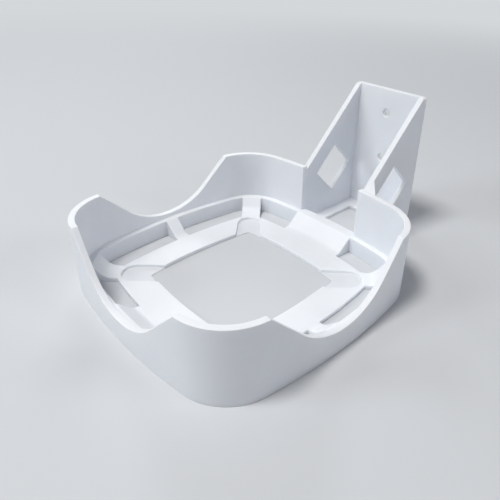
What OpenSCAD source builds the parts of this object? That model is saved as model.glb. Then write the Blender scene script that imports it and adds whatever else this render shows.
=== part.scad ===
// Wall mount for a square network router, moulded in one piece.
// A shallow cradle with bowed sides holds the router level, and a box
// bracket with two braces carries the cradle away from the wall.
// Underside at Z = 0, wall side towards +Y, width along X.

/* [Cradle] */
// Width of the cradle across the middle of two opposite sides
body_w = 131.4; // [118:0.2:170]
// Radius of the bow of each side
side_r = 270; // [200:10:500]
// Radius of the outer corners
corner_r = 26; // [24:1:32]
// Height of the rim above the underside
rim_h = 36.2; // [32:0.1:45]
// Thickness of the cradle wall above the ledge
wall_t = 3; // [2:0.1:4]

/* [Ledge] */
// Height of the ledge that the router stands on
ledge_h = 9.1; // [6:0.1:10]
// Width of the ledge inside the wall
ledge_w = 2.9; // [2:0.1:4]

/* [Scallops] */
// Height of the lowest point of the three scalloped sides
scallop_low = 11.6; // [11:0.1:20]
// Radius of the bottom of a scallop
scallop_r = 35; // [15:0.5:36]

/* [Floor] */
// Thickness of the open floor
floor_t = 2.1; // [1.8:0.1:3]
// Width of the square opening in the floor
opening_w = 68; // [50:1:72]
// Corner radius of the square opening
opening_r = 2; // [1:0.5:6]
// Width of the air slots between floor frame and ledge
slot_w = 10.6; // [10:0.1:12]
// Width of the ribs in the middle of the left and right sides
mid_rib_w = 7.2; // [4:0.2:12]
// How far those two ribs sit in front of the middle of their sides
mid_rib_shift = 0.6; // [0:0.2:4]
// Width of the ribs that run to the corners
corner_rib_w = 11; // [8:0.2:14]
// Slope of the ribs that run to the corners, in degrees
corner_slope = 50; // [45:1:58]
// Radius of the hollow at the foot of each corner rib
corner_foot_r = 8; // [4:0.5:8]
// Width of the tongue in the middle of the front side
front_tongue_w = 26; // [10:1:50]
// Slope of the ribs and tongues in the middle of the sides, in degrees
side_slope = 42; // [41:1:50]
// Radius of the hollow at the foot of those ribs and tongues
side_foot_r = 6; // [3:0.5:8]

/* [Foot pockets] */
// Width of a foot pocket
pocket_w = 13.8; // [8:0.2:14]
// Depth of a foot pocket below the floor
pocket_d = 1.6; // [0.4:0.1:1.6]
// Distance from the middle of the cradle to the end of a pocket
pocket_reach = 59.5; // [54:0.5:60]

/* [Wall bracket] */
// Distance from the back of the cradle to the wall
stand_off = 45.2; // [38:0.2:80]
// Width of the bracket across its braces
bracket_w = 45; // [36:0.1:60]
// Thickness of each brace
brace_t = 3; // [2:0.1:4]
// Thickness of the wall plate
plate_t = 3; // [2:0.1:5]
// Height of the wall plate
plate_h = 76.8; // [72:0.2:100]
// Radius of the two top corners of the wall plate
plate_r = 1.5; // [1:0.1:4]
// Length of the legs of the web at the foot of the right brace
web_w = 7.2; // [4:0.1:9]

/* [Brace windows] */
// Side of the square window that stands on its corner
window_w = 20.8; // [10:0.1:21]
// Width of the strip between window and sloping edge
window_strip = 9.9; // [8:0.1:12]
// Gap between the window's rear corner and the wall plate
window_gap = 4.4; // [4:0.1:10]

/* [Screw holes] */
// Diameter of the two screw holes
screw_d = 4.8; // [3.5:0.1:6]
// Distance between the screw holes
screw_pitch = 27; // [20:0.5:32]
// Distance from the top of the wall plate to the upper screw hole
screw_top = 13.4; // [10:0.1:16]

/* [Bracket floor] */
// Floor left beside the opening between the braces
vent_side = 7; // [4:0.1:10]
// Floor left between that opening and the wall plate
vent_back = 9; // [6:0.1:14]

/* [Hidden] */
$fn = 96;
cut = 1;
blend = 0.01;
half_w = body_w / 2;
bow_off = side_r - half_w;
ledge_half = half_w - wall_t - ledge_w;
frame_half = ledge_half - slot_w;
rise = ledge_h - floor_t;
wall_y = half_w + stand_off;
plate_y = wall_y - plate_t;
brace_in = bracket_w / 2 - brace_t;
brace_root = half_w - wall_t / 2 - pow(bracket_w / 2, 2) / side_r / 2;
window_half = window_w / sqrt(2);
window_y = plate_y - window_gap - window_half;
window_z = plate_h - (plate_y - window_y) - window_strip * sqrt(2) - window_half;
upper_screw_z = plate_h - screw_top;
middle_y = (wall_y - half_w) / 2;

// Distance from the centre to the middle of a corner arc of radius corner
function corner_at(half, corner) =
  (sqrt(2 * pow(half + bow_off - corner, 2) - pow(bow_off, 2)) - bow_off) / 2;

// Disc that gives one bowed side its arc
module side_disc(half) {
  translate([-bow_off, 0])
    circle(r = half + bow_off, $fn = 720);
}

// Square with four bowed sides that run smoothly into round corners
module bowed_square(half, corner) {
  at = corner_at(half, corner);
  reach = at * (half + bow_off) / (half + bow_off - corner);
  for (turn = [0, 90])
    rotate(turn)
      intersection() {
        side_disc(half);
        mirror([1, 0])
          side_disc(half);
        translate([-half - cut, -reach])
          square([2 * (half + cut), 2 * reach]);
      }
  for (sx = [-1, 1], sy = [-1, 1])
    translate([sx * at, sy * at])
      circle(r = corner + blend);
}

// Bowed square set in from the outer wall by a parallel distance
module inset_square(inset) {
  bowed_square(half_w - inset, corner_r - inset);
}

// Side view of the material that a scallop takes out of a wall
module scallop_profile() {
  flat = scallop_r * sin(45);
  flank_z = scallop_low + scallop_r * (1 - cos(45));
  top = rim_h + cut;
  translate([0, scallop_low + scallop_r])
    circle(r = scallop_r + blend, $fn = 240);
  polygon([
    [-flat, flank_z],
    [flat, flank_z],
    [flat + top - flank_z, top],
    [-flat - top + flank_z, top]
  ]);
}

// Scallops through the left and right walls and through the front wall
module scallops() {
  rotate([90, 0, 90])
    linear_extrude(body_w + 2 * cut, center = true)
      scallop_profile();
  translate([0, -ledge_half / 2, 0])
    rotate([90, 0, 0])
      linear_extrude(ledge_half / 2 + half_w)
        scallop_profile();
}

// Outer wall with its ledge
module cradle_wall() {
  difference() {
    linear_extrude(rim_h)
      inset_square(0);
    translate([0, 0, ledge_h])
      linear_extrude(rim_h)
        inset_square(wall_t);
    translate([0, 0, -cut])
      linear_extrude(rim_h)
        inset_square(wall_t + ledge_w);
    scallops();
  }
}

// Flat open frame that the router's feet reach
module floor_frame() {
  linear_extrude(floor_t)
    difference() {
      inset_square(half_w - frame_half);
      bowed_square(opening_w / 2, opening_r);
    }
}

// Channels with a round end, one for each foot of the router
module foot_pockets() {
  straight = pocket_reach - pocket_w / 2;
  for (turn = [45:90:315])
    rotate(turn)
      translate([0, 0, floor_t - pocket_d])
        linear_extrude(floor_t) {
          translate([0, -pocket_w / 2])
            square([straight, pocket_w]);
          translate([straight, 0])
            circle(d = pocket_w);
        }
}

// Side view of a rib that starts at root and climbs to the ledge at edge
module climb_profile(root, edge, slope, foot_r) {
  foot_run = foot_r * tan(slope / 2);
  toe = edge - rise / tan(slope) - foot_run;
  difference() {
    polygon([
      [root, 0],
      [edge + cut, 0],
      [edge + cut, ledge_h],
      [edge, ledge_h],
      [toe + foot_r * sin(slope), floor_t + foot_r * (1 - cos(slope))],
      [toe, floor_t],
      [root, floor_t]
    ]);
    translate([toe, floor_t + foot_r])
      circle(r = foot_r + blend);
  }
}

// Rib of the given width under one bowed side, shifted along that side
module side_rib(turn, width, shift) {
  edge = ledge_half + bow_off;
  rotate(turn)
    intersection() {
      translate([-bow_off, 0, 0])
        rotate_extrude($fn = 720)
          climb_profile(edge - slot_w - cut, edge, side_slope, side_foot_r);
      translate([frame_half / 2, shift - width / 2, -cut])
        cube([half_w - frame_half / 2, width, rim_h]);
    }
}

// Rib that runs out to one corner
module corner_rib(turn) {
  corner = corner_r - wall_t - ledge_w;
  at = corner_at(ledge_half, corner) * sqrt(2);
  edge = at + sqrt(pow(corner, 2) - pow(corner_rib_w / 2, 2));
  rotate(turn)
    rotate([90, 0, 0])
      linear_extrude(corner_rib_w, center = true)
        climb_profile(at, edge, corner_slope, corner_foot_r);
}

// Side view of one brace with its square window
module brace_profile() {
  difference() {
    polygon([
      [brace_root, 0],
      [wall_y - plate_t / 2, 0],
      [wall_y - plate_t / 2, plate_h],
      [plate_y, plate_h],
      [brace_root, plate_h - (plate_y - brace_root)]
    ]);
    translate([window_y, window_z])
      rotate(45)
        square(window_w, center = true);
  }
}

// One brace between the cradle and the wall plate
module brace(side) {
  translate([side * (brace_in + brace_t / 2), 0, 0])
    rotate([90, 0, 90])
      linear_extrude(brace_t, center = true)
        brace_profile();
}

// Upright web in the corner between the right brace and the cradle
module foot_web() {
  inner = bracket_w / 2 - brace_t / 2;
  outer = bracket_w / 2 + web_w;
  back = half_w - pow(outer, 2) / side_r / 2;
  root = back - wall_t / 2;
  intersection() {
    linear_extrude(plate_h)
      polygon([
        [inner, root],
        [outer + back - root, root],
        [bracket_w / 2, back + web_w],
        [inner, back + web_w]
      ]);
    rotate([90, 0, 90])
      linear_extrude(outer + body_w)
        polygon([
          [brace_root - wall_t, 0],
          [plate_y, 0],
          [plate_y, plate_h],
          [brace_root - wall_t, plate_h - plate_y + brace_root - wall_t]
        ]);
  }
}

// Upright plate that is screwed to the wall
module wall_plate() {
  translate([-bracket_w / 2, plate_y, 0])
    cube([bracket_w, plate_t, plate_h]);
}

// Floor between the braces with its opening
module bracket_floor() {
  front = half_w + vent_side;
  back = plate_y - vent_back;
  difference() {
    translate([-bracket_w / 2, brace_root, 0])
      cube([bracket_w, wall_y - brace_root, floor_t]);
    translate([vent_side - brace_in, front, -cut])
      cube([2 * (brace_in - vent_side), back - front, floor_t + 2 * cut]);
  }
}

// Passage through the cradle's back wall between the braces
module passage() {
  translate([-brace_in, half_w / 2, ledge_h])
    cube([2 * brace_in, half_w / 2 + cut, rim_h]);
}

// Screw holes through the wall plate
module screw_holes() {
  for (z = [upper_screw_z, upper_screw_z - screw_pitch])
    translate([0, plate_y - cut, z])
      rotate([-90, 0, 0])
        cylinder(h = plate_t + 2 * cut, d = screw_d);
}

// Cutters that round the two top corners of the wall plate
module top_corner_cuts() {
  for (side = [-1, 1])
    translate([side * (bracket_w / 2 - plate_r), wall_y + cut, plate_h - plate_r])
      rotate([90, 0, 0])
        linear_extrude(plate_t + plate_r + 2 * cut)
          difference() {
            translate([side > 0 ? 0 : -plate_r - cut, 0])
              square(plate_r + cut);
            circle(r = plate_r);
          }
}

// The whole mount, moulded in one piece
module wall_mount() {
  color("white")
    translate([0, -middle_y, 0]) {
      difference() {
        union() {
          cradle_wall();
          floor_frame();
          side_rib(0, mid_rib_w, -mid_rib_shift);
          side_rib(180, mid_rib_w, mid_rib_shift);
          side_rib(90, 2 * brace_in, 0);
          side_rib(270, front_tongue_w, 0);
          for (turn = [45:90:315])
            corner_rib(turn);
          for (side = [-1, 1])
            brace(side);
          foot_web();
          wall_plate();
          bracket_floor();
        }
        foot_pockets();
        passage();
        screw_holes();
        top_corner_cuts();
      }
    }
}

wall_mount();
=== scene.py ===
import math

import bmesh
import bpy
from mathutils import Matrix, Vector


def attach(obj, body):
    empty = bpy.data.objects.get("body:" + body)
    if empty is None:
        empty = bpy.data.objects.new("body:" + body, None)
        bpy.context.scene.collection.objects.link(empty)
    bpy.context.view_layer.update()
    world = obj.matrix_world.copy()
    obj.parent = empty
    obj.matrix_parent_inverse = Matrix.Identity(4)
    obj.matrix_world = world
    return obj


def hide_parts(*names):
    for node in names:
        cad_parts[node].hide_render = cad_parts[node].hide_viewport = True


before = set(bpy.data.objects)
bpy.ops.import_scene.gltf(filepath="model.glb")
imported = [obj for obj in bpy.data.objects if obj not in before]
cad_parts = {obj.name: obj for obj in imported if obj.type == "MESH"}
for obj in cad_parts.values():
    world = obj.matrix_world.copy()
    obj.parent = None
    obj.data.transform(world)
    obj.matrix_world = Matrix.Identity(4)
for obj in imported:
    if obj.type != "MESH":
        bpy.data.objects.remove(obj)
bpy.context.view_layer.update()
scene = bpy.context.scene
scene.view_settings.view_transform = "Standard"

# Camera at the photograph's place, above the front right corner of the mount.
# Its place, turn and lens come from a fit of the part's outline and openings
# to the same edges in the photograph.
camera_place = Vector((0.158371, -0.153074, 0.149264))
camera_right = Vector((0.697065, 0.716462, 0.027993))
camera_down = Vector((0.360224, -0.316181, -0.877649))
camera_ahead = Vector((-0.619951, 0.621862, -0.478485))
image_side = 500
focal_px = 505.030
axis_px = (284.290, 213.074)
sensor_mm = 36
nearest_seen = 0.01
farthest_seen = 20

camera_data = bpy.data.cameras.new("photo_camera")
camera_data.sensor_width = sensor_mm
camera_data.lens = focal_px / image_side * sensor_mm
camera_data.shift_x = (image_side / 2 - axis_px[0]) / image_side
camera_data.shift_y = (axis_px[1] - image_side / 2) / image_side
camera_data.clip_start = nearest_seen
camera_data.clip_end = farthest_seen
camera = bpy.data.objects.new("photo_camera", camera_data)
scene.collection.objects.link(camera)
turn = Matrix((camera_right, -camera_down, -camera_ahead)).transposed()
camera.matrix_world = Matrix.Translation(camera_place) @ turn.to_4x4()
scene.camera = camera

# The wall mount is one moulding of white plastic, held by two screws through
# its plate. The CAD solid gives its shape; here its sharp edges get the small
# round that a mould leaves, which catches the light along rims and braces.
edge_round = 0.00025
sharp_turn = 0.6
flat_limit = 0.004
same_point = 0.00002
sliver = 0.00016
highlight_and_wear_level = 1.0
face_weight = 100
plastic_color = (0.822, 0.846, 0.89, 1)
plastic_shade = (0.797, 0.824, 0.872, 1)
# Lighter colour of the rounded edges: a painted highlight along rims and braces.
edge_highlight_color = (0.862, 0.877, 0.91, 1)
plastic_roughness = 0.42
roughness_range = (0.38, 0.48)
rubbed_roughness = -0.12
light_let_in = 0.35
light_spread = (1.0, 0.92, 0.85)
light_depth = 0.004
cloud_noise = (38, 4)
highlight_and_wear_noise = (220, 3)
grain_noise = (1400, 2)
cloud_band = (0.35, 0.65)
gloss_band = (0.3, 0.7)
grain_strength = 0.12
grain_depth = 0.00005


def sharp_edges(shape):
    """Return the edges of a bmesh at which two faces meet in a sharp turn."""
    return [edge for edge in shape.edges if edge.calc_face_angle(0) > sharp_turn]


mount_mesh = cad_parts["wall_mount"].data.copy()
mount_mesh.name = "moulded_mount"
mount_mesh.materials.clear()
bm = bmesh.new()
bm.from_mesh(mount_mesh)
bmesh.ops.remove_doubles(bm, verts=bm.verts, dist=same_point)

# A point that lies a sliver away from a sharp edge is drawn onto the edge, so
# that the round doesn't fold over there.
on_edge = {point for edge in sharp_edges(bm) for point in edge.verts}
joined = {}
for edge in bm.edges:
    first, last = edge.verts
    if edge.calc_length() < sliver and (first in on_edge) != (last in on_edge):
        kept, drawn = (first, last) if first in on_edge else (last, first)
        joined[drawn] = kept
bmesh.ops.weld_verts(bm, targetmap=joined)
bmesh.ops.dissolve_limit(
    bm,
    angle_limit=flat_limit,
    use_dissolve_boundaries=False,
    verts=bm.verts,
    edges=bm.edges,
)
# Marks the rounded edges, which get a painted highlight and a smoother, worn
# gloss.
highlight_and_wear_layer = bm.faces.layers.float.new("edge_highlight_and_wear")
rounded = bmesh.ops.bevel(
    bm,
    geom=sharp_edges(bm),
    offset=edge_round,
    offset_type="OFFSET",
    affect="EDGES",
    segments=2,
    profile=0.5,
    material=-1,
    clamp_overlap=False,
)
for face in rounded["faces"]:
    face[highlight_and_wear_layer] = highlight_and_wear_level
bmesh.ops.remove_doubles(bm, verts=bm.verts, dist=same_point)
for face in bm.faces:
    face.smooth = True
bm.to_mesh(mount_mesh)
bm.free()
mount = bpy.data.objects.new("moulded_mount", mount_mesh)
scene.collection.objects.link(mount)
soften = mount.modifiers.new("even_shading", "WEIGHTED_NORMAL")
soften.mode = "FACE_AREA"
soften.weight = face_weight

# The plastic is a cool white that lets a little light in, with faint clouding,
# a finely grained satin surface of uneven gloss, and edges painted a little
# lighter as a painted highlight along the rims, and rubbed a little smoother.
white_plastic = bpy.data.materials.new("white_plastic")
white_plastic.use_nodes = True
plastic = white_plastic.node_tree
shader = plastic.nodes["Principled BSDF"]
shader.inputs["Base Color"].default_value = plastic_color
shader.inputs["Roughness"].default_value = plastic_roughness
shader.inputs["Subsurface Weight"].default_value = light_let_in
shader.inputs["Subsurface Radius"].default_value = light_spread
shader.inputs["Subsurface Scale"].default_value = light_depth
place = plastic.nodes.new("ShaderNodeTexCoord")


def speckle(scale, detail):
    """Return the value of a noise that lies still on the mount's plastic."""
    noise = plastic.nodes.new("ShaderNodeTexNoise")
    noise.inputs["Scale"].default_value = scale
    noise.inputs["Detail"].default_value = detail
    plastic.links.new(place.outputs["Object"], noise.inputs["Vector"])
    return noise.outputs["Fac"]


clouds = speckle(*cloud_noise)
cloud_range = plastic.nodes.new("ShaderNodeMapRange")
cloud_range.inputs["From Min"].default_value = cloud_band[0]
cloud_range.inputs["From Max"].default_value = cloud_band[1]
plastic.links.new(clouds, cloud_range.inputs["Value"])
clouding = plastic.nodes.new("ShaderNodeMix")
clouding.data_type = "RGBA"
clouding.inputs["A"].default_value = plastic_shade
clouding.inputs["B"].default_value = plastic_color
plastic.links.new(cloud_range.outputs["Result"], clouding.inputs["Factor"])

# The rounded edges are painted lighter as a painted highlight, and made smoother
# as wear.
highlight_and_wear_attribute = plastic.nodes.new("ShaderNodeAttribute")
highlight_and_wear_attribute.attribute_name = "edge_highlight_and_wear"
highlight_and_wear_amount = plastic.nodes.new("ShaderNodeMath")
highlight_and_wear_amount.operation = "MULTIPLY"
plastic.links.new(highlight_and_wear_attribute.outputs["Fac"], highlight_and_wear_amount.inputs[0])
plastic.links.new(speckle(*highlight_and_wear_noise), highlight_and_wear_amount.inputs[1])
painted_edge_highlight = plastic.nodes.new("ShaderNodeMix")
painted_edge_highlight.data_type = "RGBA"
painted_edge_highlight.inputs["B"].default_value = edge_highlight_color
plastic.links.new(highlight_and_wear_amount.outputs["Value"], painted_edge_highlight.inputs["Factor"])
plastic.links.new(clouding.outputs["Result"], painted_edge_highlight.inputs["A"])
plastic.links.new(painted_edge_highlight.outputs["Result"], shader.inputs["Base Color"])

gloss = plastic.nodes.new("ShaderNodeMapRange")
gloss.inputs["From Min"].default_value = gloss_band[0]
gloss.inputs["From Max"].default_value = gloss_band[1]
gloss.inputs["To Min"].default_value = roughness_range[0]
gloss.inputs["To Max"].default_value = roughness_range[1]
plastic.links.new(clouds, gloss.inputs["Value"])
edge_gloss = plastic.nodes.new("ShaderNodeMath")
edge_gloss.operation = "MULTIPLY_ADD"
edge_gloss.inputs[1].default_value = rubbed_roughness
plastic.links.new(highlight_and_wear_amount.outputs["Value"], edge_gloss.inputs[0])
plastic.links.new(gloss.outputs["Result"], edge_gloss.inputs[2])
plastic.links.new(edge_gloss.outputs["Value"], shader.inputs["Roughness"])

grain_bump = plastic.nodes.new("ShaderNodeBump")
grain_bump.inputs["Strength"].default_value = grain_strength
grain_bump.inputs["Distance"].default_value = grain_depth
plastic.links.new(speckle(*grain_noise), grain_bump.inputs["Height"])
plastic.links.new(grain_bump.outputs["Normal"], shader.inputs["Normal"])
mount_mesh.materials.append(white_plastic)
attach(mount, "root")
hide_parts("wall_mount")

# A plain pale floor under the mount, which keeps its shadow. Far from the
# mount it passes into the pale backdrop, so that no edge of it shows.
floor_color = (0.60, 0.62, 0.65, 1)
floor_roughness = 0.8
floor_reach = 4
backdrop_color = (0.66, 0.68, 0.70, 1)
fade_from = 0.3
fade_to = 1.1


def seen_rays(tree):
    """Return a socket that is 1 for rays that see the backdrop, and else 0."""
    rays = tree.nodes.new("ShaderNodeLightPath")
    socket = rays.outputs["Is Camera Ray"]
    for kind in ("Is Glossy Ray", "Is Transmission Ray"):
        either = tree.nodes.new("ShaderNodeMath")
        either.operation = "MAXIMUM"
        tree.links.new(socket, either.inputs[0])
        tree.links.new(rays.outputs[kind], either.inputs[1])
        socket = either.outputs["Value"]
    return socket


floor_mesh = bpy.data.meshes.new("floor")
bm = bmesh.new()
bmesh.ops.create_grid(bm, x_segments=1, y_segments=1, size=floor_reach)
bm.to_mesh(floor_mesh)
bm.free()
floor = bpy.data.objects.new("floor", floor_mesh)
scene.collection.objects.link(floor)
floor_paint = bpy.data.materials.new("floor_paint")
floor_paint.use_nodes = True
paint = floor_paint.node_tree
floor_shader = paint.nodes["Principled BSDF"]
floor_shader.inputs["Base Color"].default_value = floor_color
floor_shader.inputs["Roughness"].default_value = floor_roughness
far_floor = paint.nodes.new("ShaderNodeEmission")
far_floor.inputs["Color"].default_value = backdrop_color
floor_place = paint.nodes.new("ShaderNodeTexCoord")
from_mount = paint.nodes.new("ShaderNodeVectorMath")
from_mount.operation = "LENGTH"
paint.links.new(floor_place.outputs["Object"], from_mount.inputs[0])
fade = paint.nodes.new("ShaderNodeMapRange")
fade.interpolation_type = "SMOOTHSTEP"
fade.inputs["From Min"].default_value = fade_from
fade.inputs["From Max"].default_value = fade_to
paint.links.new(from_mount.outputs["Value"], fade.inputs["Value"])
fade_seen = paint.nodes.new("ShaderNodeMath")
fade_seen.operation = "MULTIPLY"
paint.links.new(fade.outputs["Result"], fade_seen.inputs[0])
paint.links.new(seen_rays(paint), fade_seen.inputs[1])
floor_look = paint.nodes.new("ShaderNodeMixShader")
paint.links.new(fade_seen.outputs["Value"], floor_look.inputs["Fac"])
paint.links.new(floor_shader.outputs["BSDF"], floor_look.inputs[1])
paint.links.new(far_floor.outputs["Emission"], floor_look.inputs[2])
floor_end = paint.nodes["Material Output"]
paint.links.new(floor_look.outputs["Shader"], floor_end.inputs["Surface"])
floor_mesh.materials.append(floor_paint)

# Soft light: the main panel high in front and weak ones low in front, at the
# right and behind. Each has its bearing and height around the mount in
# degrees, its side in metres, its power in watts and its tint.
lamp_reach = 1.6
lamps = (
    ("main_panel", -105, 70, 0.4, 17.0, (1.0, 0.98, 0.94)),
    ("front_panel", -120, 30, 0.5, 6.2, (0.90, 0.96, 1.0)),
    ("right_panel", 30, 30, 0.5, 3.8, (0.95, 0.96, 1.0)),
    ("back_panel", 150, 30, 0.5, 4.3, (0.92, 0.97, 1.0)),
)

for name, bearing, height, side, power, tint in lamps:
    lamp_data = bpy.data.lights.new(name, "AREA")
    lamp_data.shape = "SQUARE"
    lamp_data.size = side
    lamp_data.energy = power
    lamp_data.color = tint
    lamp = bpy.data.objects.new(name, lamp_data)
    scene.collection.objects.link(lamp)
    level = math.cos(math.radians(height))
    lamp_from = Vector((
        level * math.cos(math.radians(bearing)),
        level * math.sin(math.radians(bearing)),
        math.sin(math.radians(height)),
    ))
    lamp.location = lamp_reach * lamp_from
    lamp.rotation_euler = (-lamp_from).to_track_quat("-Z", "Y").to_euler()

# The surround fills the shadows a little from all sides. Where it is seen
# itself, straight or in the plastic's gloss, it is as pale as the backdrop.
surround_color = (0.98, 0.965, 1, 1)
surround_strength = 0.15

world = bpy.data.worlds.new("studio")
scene.world = world
world.use_nodes = True
sky = world.node_tree
sky_light = sky.nodes["Background"]
sky_light.inputs["Color"].default_value = surround_color
sky_light.inputs["Strength"].default_value = surround_strength
sky_seen = sky.nodes.new("ShaderNodeBackground")
sky_seen.inputs["Color"].default_value = backdrop_color
sky_look = sky.nodes.new("ShaderNodeMixShader")
sky.links.new(seen_rays(sky), sky_look.inputs["Fac"])
sky.links.new(sky_light.outputs["Background"], sky_look.inputs[1])
sky.links.new(sky_seen.outputs["Background"], sky_look.inputs[2])
sky_end = sky.nodes["World Output"]
sky.links.new(sky_look.outputs["Shader"], sky_end.inputs["Surface"])
